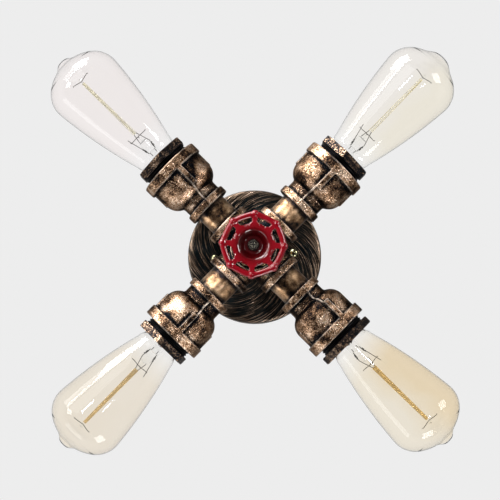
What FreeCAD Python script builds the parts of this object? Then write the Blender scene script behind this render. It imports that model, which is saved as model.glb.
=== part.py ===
import FreeCAD, Part
import math
import os
from FreeCAD import Vector

# Ceiling light made of pipe fittings: four level arms in a cross, each with a hexagonal
# collar, a screw lampholder and a long pear-shaped bulb, and a valve handwheel below.
#
# Frame: millimetres, +Z up. The origin is the centre of the canopy's rim, on the ceiling,
# and the light hangs below it. The arms point at 45, 135, 225 and 315 degrees from +X.
# Along an arm, "s" is the distance out from the vertical axis. Below the arms, "d" is the
# distance down from the plane of the arm axes.

# Layout
arm_count = 4
arm_first_turn = 45.0
arm_drop = 95.0
thread_gap = 0.05
face_gap = 0.3

# Canopy, a spun steel dish
canopy_radius = 56.8
canopy_depth = 22.0
canopy_wall = 1.2
canopy_corner = 2.6

# Ceiling bracket, a flat strip with two screw holes and two canopy studs
stud_line_turn = -3.8
bracket_length = 84.0
bracket_width = 18.0
bracket_thickness = 2.0
ceiling_screw_hole = 5.2
ceiling_screw_spacing = 48.0
bracket_centre_hole = 32.0
stud_diameter = 4.0
stud_spacing = 67.0
stud_nut_flats = 7.0
stud_nut_height = 3.0
ball_nut_diameter = 8.4
ball_nut_base_diameter = 7.2
ball_nut_base_height = 2.4

# Pipe: a 3/4 inch nipple and the fittings that take it
pipe_diameter = 26.9
pipe_bore = 21.6
pipe_thread_depth = 13.0
lock_nut_flats = 36.0
lock_nut_height = 5.0
nipple_top_projection = 3.5

# Cross fitting with six outlets
cross_reach = 32.0
cross_outlet_down = 30.0
cross_socket_diameter = 33.4
cross_band_diameter = 37.4
cross_band_width = 6.0
cross_belly_diameter = 41.0
cross_passage = 22.0

# Ribbed bell reducer on each arm
reducer_near = 49.6
reducer_length = 47.9
reducer_small_band_diameter = 37.5
reducer_small_band_width = 6.5
reducer_neck_diameter = 32.6
reducer_neck_length = 6.2
reducer_neck_fillet = 2.5
reducer_shoulder_radius = 13.0
reducer_bell_diameter = 49.0
reducer_large_band_diameter = 54.0
reducer_large_band_width = 8.8
reducer_large_bore = 42.0
reducer_wall = 3.4
reducer_passage = 22.0
rib_count = 4
rib_below_band = 0.2
rib_width = 4.6
rib_start = 14.5
side_rib_height = 0.9
side_rib_start = 18.5
rib_turns = (10.0, 7.0, -23.0, -10.0)
parting_fin_width = 1.2
parting_fin_height = 1.1
parting_fin_on_band = 0.5
parting_fin_sides = (-1, -1, 1, -1)
band_chamfer = 0.4

# Hexagonal collar screwed into the reducer
collar_thread_exposed = 4.8
collar_hex_width = 6.5
collar_hex_flats = 43.2
collar_hex_chamfer = 1.2
collar_bore = 37.0
collar_lip = 1.6
collar_lip_bore = 26.0
collar_turns = (0.0, 0.0, 30.0, 5.0)

# Lampholder: ceramic cup, threaded shell and spring contact
holder_rim_recess = 0.9
holder_mouth_wall = 1.0
holder_mouth_depth = 5.2
holder_floor = 2.5
holder_shell_wall = 0.5
holder_lead_hole = 5.0
contact_strip_width = 6.0
contact_strip_thickness = 0.5
contact_height = 1.8

# Bulb: E27 cap and 64 mm pear-shaped envelope. Places inside it count from the cap's end.
bulb_seat_depth = 25.4
bulb_length = 138.5
cap_thread_diameter = 26.2
cap_wall = 0.4
cap_end = 22.4
insulator_start = 1.2
insulator_length = 4.0
insulator_small_diameter = 10.0
tip_diameter = 9.2
tip_height = 1.6
running_gap = 0.09
glass_wall = 0.8
glass_neck_start = 10.0
glass_cap_gap = 0.15
flare_via = (25.4, 15.8)
flare_end = (32.2, 18.5)
side_bulge = 1.75
bulb_diameter = 64.2
shoulder_radius = 22.0
crown_radius = 38.0
pip_height = 3.5
pip_radius = 9.0

# Stem and filament inside the bulb
stem_flare_start = 13.0
stem_wall = 1.0
stem_tube_diameter = 10.0
stem_tube_end = 34.0
pinch_end = 44.0
pinch_width = 9.0
pinch_thickness = 3.4
rod_diameter = 1.8
rod_end_gap = 22.0
bead_diameter = 3.0
near_bead_inset = 3.2
far_bead_inset = 1.8
filament_start = 53.0
filament_end_gap = 25.1
filament_strands = 6
filament_circle = 3.5
filament_wire = 0.4
lead_spread = 7.2
anchor_wire = 0.5
anchor_reach = 9.6
anchor_count = 3
anchor_lean = 1.0

# Valve below the cross: bonnet, gland nut, stem and handwheel
bonnet_flats = 30.0
bonnet_hex_height = 5.0
bonnet_neck_diameter = 21.0
bonnet_neck_height = 3.5
bonnet_thread_length = 9.0
gland_flats = 17.0
gland_height = 5.4
stem_diameter = 7.0
stem_collar_diameter = 12.0
stem_collar_height = 2.0
stem_play = 0.3
wheel_plane_down = 56.0
wheel_rim_section = 5.0
wheel_rim_radius = 24.4
wheel_rim_draw = 1.25
wheel_lobe_section = 6.4
wheel_spokes = 8
wheel_spoke_width = 4.4
wheel_spoke_fillet = 1.6
wheel_spoke_bury = 2.0
wheel_spoke_thickness = 3.6
wheel_turn = 4.0
hub_ring_radius = 17.3
hub_ring_depth = 4.6
hub_ring_drop = 1.4
cup_mouth_radius = 11.2
cup_floor_radius = 7.4
cup_depth = 6.5
cup_wall = 2.4
hub_boss_radius = 6.4
wheel_screw_head_diameter = 9.0
wheel_screw_head_height = 2.4
wheel_screw_dish_depth = 0.6
wheel_screw_dish_diameter = 6.4
wheel_screw_shank = 4.0
wheel_screw_length = 8.0
wheel_screw_slot = 1.2
wheel_screw_slot_length = 5.2

# Wiring
cable_diameter = 4.4
cable_circle = 5.6
cable_bend = 9.0
cable_top_bend = 5.0
block_width = 22.0
block_depth = 12.0
block_offset = 20.0
block_cable_height = 12.6
block_cover = 3.0

# Worked-out places
arm_z = -arm_drop
canopy_face_z = -canopy_depth
reducer_far = reducer_near + reducer_length
collar_hex_start = reducer_far + collar_thread_exposed
collar_face = collar_hex_start + collar_hex_width
bulb_bottom = collar_face - bulb_seat_depth
glass_neck_end = cap_end + glass_cap_gap
crown_end = bulb_length - pip_height
rod_end = bulb_length - rod_end_gap
filament_end = bulb_length - filament_end_gap
bead_places = (filament_start - near_bead_inset, filament_end + far_bead_inset)
holder_floor_front = bulb_bottom - contact_height
holder_back = holder_floor_front - holder_floor
collar_back = holder_back - collar_lip
holder_front = collar_face - holder_rim_recess
holder_radius = collar_bore / 2 - thread_gap
shell_bore_radius = cap_thread_diameter / 2 + running_gap
shell_outer_radius = shell_bore_radius + holder_shell_wall
holder_mouth_start = holder_front - holder_mouth_depth
wheel_floor_down = wheel_plane_down + wheel_spoke_thickness / 2 - cup_depth
gland_top_down = cross_outlet_down + bonnet_hex_height + bonnet_neck_height
gland_end_down = gland_top_down + gland_height
hub_back_down = gland_end_down + face_gap

X_AXIS = Vector(1, 0, 0)
Y_AXIS = Vector(0, 1, 0)
Z_AXIS = Vector(0, 0, 1)
ORIGIN = Vector(0, 0, 0)


def lathe(steps):
    """Turn an outline about +X. A step is (s, r), or (via_s, via_r, s, r) for an arc."""
    start = Vector(steps[0][0], steps[0][1], 0)
    last = start
    edges = []
    for step in steps[1:]:
        end = Vector(step[-2], step[-1], 0)
        if len(step) == 4:
            edges.append(Part.Arc(last, Vector(step[0], step[1], 0), end).toShape())
        else:
            edges.append(Part.LineSegment(last, end).toShape())
        last = end
    edges.append(Part.LineSegment(last, start).toShape())
    return Part.Face(Part.Wire(edges)).revolve(ORIGIN, X_AXIS, 360)


def ogee_length(rise, hollow, round_over):
    """Length that two tangent arcs of these radii need to climb this rise."""
    return math.sqrt(rise * (2 * (hollow + round_over) - rise))


def ogee(start, rise, hollow, round_over):
    """A hollow arc and a round one that climb from start and end level with the axis."""
    length = ogee_length(rise, hollow, round_over)
    turn = math.atan2(length, hollow + round_over - rise)
    middle = (start[0] + hollow * math.sin(turn), start[1] + hollow * (1 - math.cos(turn)))
    end = (start[0] + length, start[1] + rise)
    half = turn / 2
    return [
        (start[0] + hollow * math.sin(half), start[1] + hollow * (1 - math.cos(half)),
         middle[0], middle[1]),
        (end[0] - round_over * math.sin(half), end[1] - round_over * (1 - math.cos(half)),
         end[0], end[1]),
    ]


def band(start, end, radius):
    """Outline points of a raised band with chamfered edges."""
    return [
        (start, radius - band_chamfer),
        (start + band_chamfer, radius),
        (end - band_chamfer, radius),
        (end, radius - band_chamfer),
    ]


def tube(start, end, outer, inner):
    """Tube along +X given by two diameters."""
    return lathe([(start, inner / 2), (start, outer / 2), (end, outer / 2), (end, inner / 2)])


def hexagon(start, end, flats, chamfer=0.0):
    """Hexagonal bar along +X with a corner towards -Z and turned-down corners."""
    corner = flats / math.sqrt(3)
    points = []
    for k in range(7):
        angle = math.radians(60 * k + 90)
        points.append(Vector(start, corner * math.cos(angle), -corner * math.sin(angle)))
    bar = Part.Face(Part.makePolygon(points)).extrude(Vector(end - start, 0, 0))
    if chamfer:
        drop = chamfer * math.tan(math.radians(30))
        limits = [(start, 0), (start, corner - chamfer), (start + drop, corner),
                  (end - drop, corner), (end, corner - chamfer), (end, 0)]
        bar = bar.common(lathe(limits))
    return bar


def rod(start, end, diameter):
    """Round rod between two points."""
    line = end - start
    return Part.makeCylinder(diameter / 2, line.Length, start, line)


def down(shape, depth=0.0):
    """Stand a piece that was turned about +X on the vertical axis, +X pointing down."""
    piece = shape.copy()
    piece.rotate(ORIGIN, Y_AXIS, 90)
    piece.translate(Vector(0, 0, -depth))
    return piece


def on_arm(shape, number):
    """Carry a piece from the +X arm frame to its own arm."""
    piece = shape.copy()
    piece.rotate(ORIGIN, Z_AXIS, arm_first_turn + 360.0 / arm_count * number)
    piece.translate(Vector(0, 0, arm_z))
    return piece


def arm_direction(number):
    angle = math.radians(arm_first_turn + 360.0 / arm_count * number)
    return Vector(math.cos(angle), math.sin(angle), 0)


def save(name, solids):
    """Write one sub-part."""
    shape = solids[0] if len(solids) == 1 else Part.makeCompound(solids)
    shape.exportStep("parts/" + name + ".step")


def stud_places():
    """The two stud centres, on a line turned a little from the X axis."""
    angle = math.radians(stud_line_turn)
    half = Vector(math.cos(angle), math.sin(angle), 0) * (stud_spacing / 2)
    return [half, half * -1]


def canopy():
    """Spun dish: flat face below, rounded corner, rim on the ceiling."""
    turn = 1 - math.cos(math.radians(45))
    wall = canopy_wall
    inner_corner = canopy_corner - wall
    radius = canopy_radius
    depth = canopy_depth
    hole = pipe_diameter / 2 + face_gap
    dish = lathe([
        (0, radius - wall),
        (0, radius),
        (depth - canopy_corner, radius),
        (depth - canopy_corner * turn, radius - canopy_corner * turn, depth, radius - canopy_corner),
        (depth, hole),
        (depth - wall, hole),
        (depth - wall, radius - canopy_corner),
        (depth - wall - inner_corner * turn, radius - wall - inner_corner * turn,
         depth - canopy_corner, radius - wall),
    ])
    dish = down(dish)
    for place in stud_places():
        hole_start = place + Vector(0, 0, canopy_face_z - 1)
        dish = dish.cut(Part.makeCylinder(stud_diameter / 2 + face_gap, wall + 2, hole_start))
    return dish


def ceiling_bracket():
    """Flat strip with rounded ends, a wiring hole, two screw holes and two stud holes."""
    strip = Part.makeBox(bracket_length, bracket_width, bracket_thickness,
                         Vector(-bracket_length / 2, -bracket_width / 2, -bracket_thickness))
    strip = strip.common(Part.makeCylinder(bracket_length / 2, bracket_thickness,
                                           Vector(0, 0, -bracket_thickness)))
    strip = strip.fuse(Part.makeCylinder(bracket_centre_hole / 2 + bracket_width / 4,
                                         bracket_thickness, Vector(0, 0, -bracket_thickness)))
    holes = [(0, bracket_centre_hole)]
    for side in (-1, 1):
        holes.append((side * ceiling_screw_spacing / 2, ceiling_screw_hole))
        holes.append((side * stud_spacing / 2, stud_diameter + 2 * thread_gap))
    for x, diameter in holes:
        strip = strip.cut(Part.makeCylinder(diameter / 2, bracket_thickness + 2,
                                            Vector(x, 0, -bracket_thickness - 1)))
    strip = strip.removeSplitter()
    strip.rotate(ORIGIN, Z_AXIS, stud_line_turn)
    return strip


def bracket_studs():
    """Threaded studs that hang from the bracket and pass through the canopy face."""
    length = canopy_depth + ball_nut_base_height
    studs = []
    for place in stud_places():
        studs.append(Part.makeCylinder(stud_diameter / 2, length, place - Vector(0, 0, length)))
    return studs


def stud_nuts():
    """Hexagonal nuts that lock the studs under the bracket."""
    nut = hexagon(0, stud_nut_height, stud_nut_flats, 0.5)
    nut = nut.cut(tube(-1, stud_nut_height + 1, stud_diameter + 2 * thread_gap, 0))
    nuts = []
    for place in stud_places():
        piece = down(nut, bracket_thickness)
        piece.translate(place)
        nuts.append(piece)
    return nuts


def ball_nuts():
    """Ball-headed cap nuts that clamp the canopy against the bracket."""
    ball_radius = ball_nut_diameter / 2
    base_radius = ball_nut_base_diameter / 2
    base = ball_nut_base_height
    neck_radius = base_radius * 0.8
    centre = base + math.sqrt(ball_radius ** 2 - neck_radius ** 2)
    profile = lathe([
        (0, 0), (0, base_radius), (base * 0.6, base_radius), (base, neck_radius),
        (centre, ball_radius, centre + ball_radius, 0),
    ])
    bore = lathe([(-1, 0), (-1, stud_diameter / 2 + thread_gap),
                  (base + face_gap, stud_diameter / 2 + thread_gap), (base + face_gap, 0)])
    nut = profile.cut(bore)
    nuts = []
    for place in stud_places():
        piece = down(nut, canopy_depth)
        piece.translate(place)
        nuts.append(piece)
    return nuts


def down_nipple():
    """Pipe from inside the canopy to the cross fitting's top outlet."""
    top = canopy_depth - canopy_wall - lock_nut_height - nipple_top_projection
    bottom = arm_drop - cross_outlet_down + pipe_thread_depth
    return down(tube(top, bottom, pipe_diameter, pipe_bore))


def lock_nuts():
    """One nut above and one below the canopy face, tight on the nipple's thread."""
    nuts = []
    for start in (canopy_depth - canopy_wall - lock_nut_height, canopy_depth):
        nut = hexagon(start, start + lock_nut_height, lock_nut_flats, 1.0)
        bore = tube(start - 1, start + lock_nut_height + 1, pipe_diameter + 2 * thread_gap, 0)
        nuts.append(down(nut.cut(bore)))
    return nuts


def cross_fitting():
    """Cast six-way fitting: four level outlets, one up and one down, each with a band."""
    belly = Part.makeSphere(cross_belly_diameter / 2)
    level = lathe([(0, 0), (0, cross_socket_diameter / 2),
                   (cross_reach - cross_band_width, cross_socket_diameter / 2)]
                  + band(cross_reach - cross_band_width, cross_reach, cross_band_diameter / 2)
                  + [(cross_reach, 0)])
    upright = lathe([(0, 0), (0, cross_socket_diameter / 2),
                     (cross_outlet_down - cross_band_width, cross_socket_diameter / 2)]
                    + band(cross_outlet_down - cross_band_width, cross_outlet_down,
                           cross_band_diameter / 2)
                    + [(cross_outlet_down, 0)])
    outlets = [down(upright)]
    top = upright.copy()
    top.rotate(ORIGIN, Y_AXIS, -90)
    outlets.append(top)
    socket = pipe_diameter / 2 + thread_gap
    passage = cross_passage / 2
    hollows = []
    for reach, turns in ((cross_reach, None), (cross_outlet_down, 90), (cross_outlet_down, -90)):
        floor = reach - pipe_thread_depth - face_gap
        hollow = lathe([(0, 0), (0, passage), (floor, passage), (floor, socket),
                        (reach + 1, socket), (reach + 1, 0)])
        if turns is None:
            for k in range(arm_count):
                arm = hollow.copy()
                arm.rotate(ORIGIN, Z_AXIS, arm_first_turn + 360.0 / arm_count * k)
                hollows.append(arm)
        else:
            hollow.rotate(ORIGIN, Y_AXIS, turns)
            hollows.append(hollow)
    for k in range(arm_count):
        arm = level.copy()
        arm.rotate(ORIGIN, Z_AXIS, arm_first_turn + 360.0 / arm_count * k)
        outlets.append(arm)
    body = belly.multiFuse(outlets)
    body = body.cut(hollows).removeSplitter()
    body.translate(Vector(0, 0, arm_z))
    return body


def arm_nipple():
    """Plain pipe between the cross and the reducer."""
    return tube(cross_reach - pipe_thread_depth, reducer_near + pipe_thread_depth,
                pipe_diameter, pipe_bore)


def reducer_outline():
    """Places along the reducer that its bell, bands, bores and ribs share."""
    neck_start = reducer_near + reducer_small_band_width
    neck_end = neck_start + reducer_neck_length
    rise = (reducer_bell_diameter - reducer_neck_diameter) / 2
    bell_start = neck_end + ogee_length(rise, reducer_neck_fillet, reducer_shoulder_radius)
    bell_end = reducer_far - reducer_large_band_width
    return neck_start, neck_end, bell_start, bell_end, rise


def reducer():
    """Cast bell reducer with a band at each end, round shoulder and stepped bore."""
    neck_start, neck_end, bell_start, bell_end, rise = reducer_outline()
    neck = reducer_neck_diameter / 2
    bell = reducer_bell_diameter / 2
    small_bore = pipe_diameter / 2 + thread_gap
    large_bore = reducer_large_bore / 2 + thread_gap
    small_floor = reducer_near + pipe_thread_depth + face_gap
    large_floor = collar_back - face_gap
    passage = reducer_passage / 2
    cone_end = (small_floor + large_floor) / 2
    steps = [(reducer_near, small_bore)]
    steps += band(reducer_near, neck_start, reducer_small_band_diameter / 2)
    steps += [(neck_start, neck), (neck_end, neck)]
    steps += ogee((neck_end, neck), rise, reducer_neck_fillet, reducer_shoulder_radius)
    steps += [(bell_end, bell)]
    steps += band(bell_end, reducer_far, reducer_large_band_diameter / 2)
    steps += [(reducer_far, large_bore), (large_floor, large_bore),
              (large_floor, large_bore - reducer_wall), (cone_end, passage),
              (small_floor, passage), (small_floor, small_bore)]
    return lathe(steps)


def reducer_rib(low):
    """Flat-topped bar along the bell, from the large band to a square end on the shoulder.

    The two ribs at the sides are low, where the halves of the mould draw apart.
    """
    neck_start, neck_end, bell_start, bell_end, rise = reducer_outline()
    start = neck_start + (side_rib_start if low else rib_start)
    length = bell_end + reducer_large_band_width / 2 - start
    top = reducer_large_band_diameter / 2 - rib_below_band
    if low:
        top = reducer_bell_diameter / 2 + side_rib_height
    root = reducer_bell_diameter / 2 - reducer_wall
    return Part.makeBox(length, rib_width, top - root, Vector(start, -rib_width / 2, -top))


def parting_fin(side):
    """Thin fin left by the mould, from the small band over the neck to one edge of the rib."""
    neck_start, neck_end, bell_start, bell_end, rise = reducer_outline()
    neck = reducer_neck_diameter / 2
    band_top = reducer_small_band_diameter / 2 + parting_fin_on_band
    start = reducer_near + band_chamfer
    root = neck - reducer_wall / 2
    hollow = reducer_neck_fillet - parting_fin_height / 2
    climb = ogee((neck_end - parting_fin_height / 2, neck + parting_fin_height), rise, hollow,
                 reducer_shoulder_radius + parting_fin_height)
    steps = [(start, band_top), (neck_start, band_top),
             (neck_start + parting_fin_height, neck + parting_fin_height),
             (neck_end - parting_fin_height / 2, neck + parting_fin_height)] + climb
    steps += [(climb[-1][2], root), (start, root)]
    last = first = Vector(steps[0][0], 0, -steps[0][1])
    edges = []
    for step in steps[1:]:
        place = Vector(step[-2], 0, -step[-1])
        if len(step) == 4:
            edges.append(Part.Arc(last, Vector(step[0], 0, -step[1]), place).toShape())
        else:
            edges.append(Part.LineSegment(last, place).toShape())
        last = place
    edges.append(Part.LineSegment(last, first).toShape())
    fin = Part.Face(Part.Wire(edges)).extrude(Vector(0, parting_fin_width, 0))
    limit = Part.makeBox(neck_start + rib_start + 1 - reducer_near, 4 * parting_fin_width,
                         reducer_large_band_diameter / 2,
                         Vector(reducer_near, -parting_fin_width, -reducer_large_band_diameter / 2))
    fin = fin.common(limit)
    edge = rib_width / 2 - parting_fin_width
    fin.translate(Vector(0, edge if side > 0 else -rib_width / 2, 0))
    return fin


def ribbed_reducer(turn, fin_side):
    """The reducer with its ribs, screwed on until the nearest rib stands at this turn."""
    extras = []
    for k in range(rib_count):
        shapes = [reducer_rib(k % 2 == 1)]
        if k % 2 == 0:
            shapes.append(parting_fin(fin_side if k == 0 else -fin_side))
        for shape in shapes:
            shape.rotate(ORIGIN, X_AXIS, turn + 360.0 / rib_count * k)
            extras.append(shape)
    return reducer().multiFuse(extras).removeSplitter()


def hex_collar(turn):
    """Bushing with a threaded boss, a hexagonal head and a back lip that stops the holder."""
    boss = tube(collar_back, collar_hex_start + collar_hex_width / 2, reducer_large_bore, 0)
    head = hexagon(collar_hex_start, collar_face, collar_hex_flats, collar_hex_chamfer)
    bore = lathe([(collar_back - 1, 0), (collar_back - 1, collar_lip_bore / 2),
                  (holder_back, collar_lip_bore / 2), (holder_back, collar_bore / 2),
                  (collar_face + 1, collar_bore / 2), (collar_face + 1, 0)])
    collar = boss.fuse(head).cut(bore).removeSplitter()
    collar.rotate(ORIGIN, X_AXIS, turn)
    return collar


def lampholder():
    """Ceramic cup that fills the collar, with a stepped cavity and a lead hole."""
    cavity = shell_outer_radius + thread_gap
    return lathe([
        (holder_back, holder_lead_hole / 2), (holder_back, holder_radius),
        (holder_front, holder_radius), (holder_front, holder_radius - holder_mouth_wall),
        (holder_mouth_start, holder_radius - holder_mouth_wall), (holder_mouth_start, cavity),
        (holder_floor_front, cavity), (holder_floor_front, holder_lead_hole / 2),
    ])


def socket_shell():
    """Brass screw shell that carries the bulb's cap."""
    return tube(holder_floor_front + contact_height, holder_mouth_start,
                2 * shell_outer_radius, 2 * shell_bore_radius)


def socket_contact():
    """Spring strip on the cup's floor, arched up to the bulb's tip."""
    foot = shell_bore_radius - 2.0
    low = holder_floor_front
    high = bulb_bottom - contact_strip_thickness - running_gap
    arch = Part.Wire([
        Part.LineSegment(Vector(low, -foot, 0), Vector(low, -foot / 2, 0)).toShape(),
        Part.Arc(Vector(low, -foot / 2, 0), Vector(high, 0, 0), Vector(low, foot / 2, 0)).toShape(),
        Part.LineSegment(Vector(low, foot / 2, 0), Vector(low, foot, 0)).toShape(),
    ])
    low += contact_strip_thickness
    high = bulb_bottom - running_gap
    upper = Part.Wire([
        Part.LineSegment(Vector(low, foot, 0), Vector(low, foot / 2, 0)).toShape(),
        Part.Arc(Vector(low, foot / 2, 0), Vector(high, 0, 0), Vector(low, -foot / 2, 0)).toShape(),
        Part.LineSegment(Vector(low, -foot / 2, 0), Vector(low, -foot, 0)).toShape(),
    ])
    ends = [
        Part.LineSegment(Vector(holder_floor_front, foot, 0), Vector(low, foot, 0)).toShape(),
        Part.LineSegment(Vector(low, -foot, 0), Vector(holder_floor_front, -foot, 0)).toShape(),
    ]
    outline = Part.Wire(Part.__sortEdges__(arch.Edges + upper.Edges + ends))
    strip = Part.Face(outline).extrude(Vector(0, 0, contact_strip_width))
    strip.translate(Vector(0, 0, -contact_strip_width / 2))
    return strip


def bulb_tip():
    """Solder button at the bottom of the cap."""
    radius = tip_diameter / 2
    return lathe([(bulb_bottom, 0), (bulb_bottom, radius * 0.5),
                  (bulb_bottom + tip_height * 0.3, radius * 0.85,
                   bulb_bottom + tip_height, radius), (bulb_bottom + tip_height, 0)])


def bulb_insulator():
    """Black glass cone between the button and the screw shell."""
    start = bulb_bottom + tip_height
    end = bulb_bottom + insulator_start + insulator_length
    return lathe([(start, 0), (start, insulator_small_diameter / 2),
                  (end, cap_thread_diameter / 2 - 1.2), (end + 1.0, cap_thread_diameter / 2 - 1.2),
                  (end + 1.0, 0)])


def bulb_cap():
    """Screw shell with a turned-in bottom edge."""
    start = bulb_bottom + insulator_start + insulator_length
    outer = cap_thread_diameter / 2
    inner = outer - cap_wall
    seat = outer - 1.2 + thread_gap
    return lathe([(start, seat), (start, outer - 0.6), (start + 0.6, outer),
                  (bulb_bottom + cap_end, outer), (bulb_bottom + cap_end, inner),
                  (start + 1.0, inner), (start + 1.0, seat)])


def envelope_steps(inset):
    """Outline of the envelope from the neck to the tip, moved inwards by inset."""
    neck = cap_thread_diameter / 2 - cap_wall - glass_cap_gap - inset
    shoulder = shoulder_radius - inset
    crown = crown_radius - inset
    crown_centre = crown_end - crown_radius
    rise = bulb_diameter / 2 - shoulder_radius
    between = crown_radius - shoulder_radius
    shoulder_centre = crown_centre + math.sqrt(between ** 2 - rise ** 2)
    lean = math.radians(5)
    side_end = (shoulder_centre - shoulder * math.sin(lean), rise + shoulder * math.cos(lean))
    side_start = (flare_end[0], flare_end[1] - inset)
    slope = math.atan2(side_end[1] - side_start[1], side_end[0] - side_start[0])
    side_via = ((side_start[0] + side_end[0]) / 2 - side_bulge * math.sin(slope),
                (side_start[1] + side_end[1]) / 2 + side_bulge * math.cos(slope))
    join = math.atan2(rise, shoulder_centre - crown_centre)
    join_point = (crown_centre + crown * math.cos(join), crown * math.sin(join))
    shoulder_mid = (math.pi / 2 + lean + join) / 2
    shoulder_via = (shoulder_centre + shoulder * math.cos(shoulder_mid),
                    rise + shoulder * math.sin(shoulder_mid))
    pip = pip_radius - inset
    pip_centre = bulb_length - pip_radius
    apart = pip_centre - crown_centre
    pip_turn = math.acos((apart ** 2 + crown ** 2 - pip ** 2) / (2 * apart * crown))
    pip_base = (crown_centre + crown * math.cos(pip_turn), crown * math.sin(pip_turn))
    crown_mid = (join + pip_turn) / 2
    crown_via = (crown_centre + crown * math.cos(crown_mid), crown * math.sin(crown_mid))
    pip_mid = math.atan2(pip_base[1], pip_base[0] - pip_centre) / 2
    pip_via = (pip_centre + pip * math.cos(pip_mid), pip * math.sin(pip_mid))
    steps = [
        (glass_neck_start, neck), (glass_neck_end, neck),
        (flare_via[0], flare_via[1] - inset, side_start[0], side_start[1]),
        (side_via[0], side_via[1], side_end[0], side_end[1]),
        (shoulder_via[0], shoulder_via[1], join_point[0], join_point[1]),
        (crown_via[0], crown_via[1], pip_base[0], pip_base[1]),
        (pip_via[0], pip_via[1], bulb_length - inset, 0),
    ]
    return steps


def bulb_glass():
    """Blown envelope with its stem: flared tube, pinch and centre rod, in one piece of glass."""
    outer = lathe(envelope_steps(0) + [(glass_neck_start, 0)])
    inner = lathe(envelope_steps(glass_wall) + [(glass_neck_start, 0)])
    neck = cap_thread_diameter / 2 - cap_wall - glass_cap_gap - glass_wall / 2
    tube_radius = stem_tube_diameter / 2
    sweep = neck - tube_radius
    bend = math.sin(math.radians(45))
    turn_start = stem_flare_start + sweep
    stem = lathe([
        (stem_flare_start, neck),
        (turn_start - sweep * bend, neck - sweep * bend, turn_start, tube_radius),
        (stem_tube_end, tube_radius), (stem_tube_end, tube_radius - stem_wall),
        (turn_start, tube_radius - stem_wall),
        (turn_start - (sweep + stem_wall) * bend, neck - (sweep + stem_wall) * bend,
         stem_flare_start - stem_wall, neck),
    ])
    pinch = Part.makeBox(pinch_end - stem_tube_end + 3.0, pinch_width, pinch_thickness,
                         Vector(stem_tube_end - 3.0, -pinch_width / 2, -pinch_thickness / 2))
    plug = lathe([(stem_tube_end - 3.0, 0), (stem_tube_end - 3.0, tube_radius),
                  (stem_tube_end, tube_radius), (stem_tube_end + 3.0, pinch_thickness / 2),
                  (stem_tube_end + 3.0, 0)])
    centre_rod = rod(Vector(pinch_end - 1.0, 0, 0), Vector(rod_end, 0, 0), rod_diameter)
    beads = []
    for place in bead_places:
        beads.append(Part.makeSphere(bead_diameter / 2, Vector(place, 0, 0)))
    glass = outer.cut(inner).multiFuse([stem, plug, pinch, centre_rod] + beads)
    glass.translate(Vector(bulb_bottom, 0, 0))
    return glass.removeSplitter()


def wire_chain(points, diameter):
    """Fine wire through points, with a ball at each bend."""
    pieces = []
    for start, end in zip(points, points[1:]):
        pieces.append(rod(start, end, diameter))
    for point in points[1:-1]:
        pieces.append(Part.makeSphere(diameter / 2, point))
    return pieces[0].multiFuse(pieces[1:])


def bulb_filament():
    """Long cage of parallel strands with its two lead wires, and the anchor wires."""
    circle = filament_circle / 2
    strands = []
    for k in range(filament_strands):
        angle = 2 * math.pi * k / filament_strands - math.pi / 2 + math.pi / filament_strands
        strands.append(Vector(0, circle * math.cos(angle), circle * math.sin(angle)))
    foot = pinch_end + face_gap
    points = [Vector(foot, lead_spread / 2, 0)]
    for k, strand in enumerate(strands):
        low = Vector(filament_start, strand.y, strand.z)
        high = Vector(filament_end, strand.y, strand.z)
        points += [low, high] if k % 2 == 0 else [high, low]
    points.append(Vector(foot, -lead_spread / 2, 0))
    solids = [wire_chain(points, filament_wire)]
    for place, lean in zip(bead_places, (-anchor_lean, anchor_lean)):
        for k in range(anchor_count):
            angle = 2 * math.pi * k / anchor_count - math.pi / 2
            side = Vector(0, math.cos(angle), math.sin(angle))
            start = Vector(place, 0, 0) + side * (bead_diameter / 2 + thread_gap)
            solids.append(rod(start, Vector(place + lean, 0, 0) + side * anchor_reach, anchor_wire))
    moved = []
    for solid in solids:
        solid.translate(Vector(bulb_bottom, 0, 0))
        moved.append(solid)
    return moved


def valve_bonnet():
    """Hexagonal bonnet screwed into the bottom outlet, with a chamber for the stem's collar."""
    start = cross_outlet_down
    head = hexagon(start, start + bonnet_hex_height, bonnet_flats, 1.0)
    skirt = tube(start - bonnet_thread_length, start + 1, pipe_diameter, 0)
    neck = tube(start, gland_top_down, bonnet_neck_diameter, 0)
    chamber = stem_collar_diameter / 2 + stem_play
    bore = lathe([(start - bonnet_thread_length - 1, 0), (start - bonnet_thread_length - 1, chamber),
                  (start + stem_play, chamber), (start + stem_play, stem_diameter / 2 + thread_gap),
                  (gland_top_down + 1, stem_diameter / 2 + thread_gap), (gland_top_down + 1, 0)])
    bonnet = head.multiFuse([skirt, neck]).cut(bore).removeSplitter()
    return down(bonnet, arm_drop)


def gland_nut():
    """Nut that holds the packing round the stem."""
    nut = hexagon(gland_top_down, gland_end_down, gland_flats, 0.8)
    bore = tube(gland_top_down - 1, gland_end_down + 1, stem_diameter + 2 * thread_gap, 0)
    return down(nut.cut(bore), arm_drop)


def valve_stem():
    """Spindle with a collar that keeps it in the bonnet, up to the wheel's cup floor."""
    start = cross_outlet_down
    radius = stem_diameter / 2
    collar = stem_collar_diameter / 2
    hole = wheel_screw_shank / 2 + thread_gap
    end = wheel_floor_down
    spindle = lathe([
        (start - stem_collar_height, 0), (start - stem_collar_height, collar), (start, collar),
        (start, radius), (end, radius), (end, hole),
        (end - wheel_screw_length, hole), (end - wheel_screw_length, 0),
    ])
    return down(spindle, arm_drop)


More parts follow.
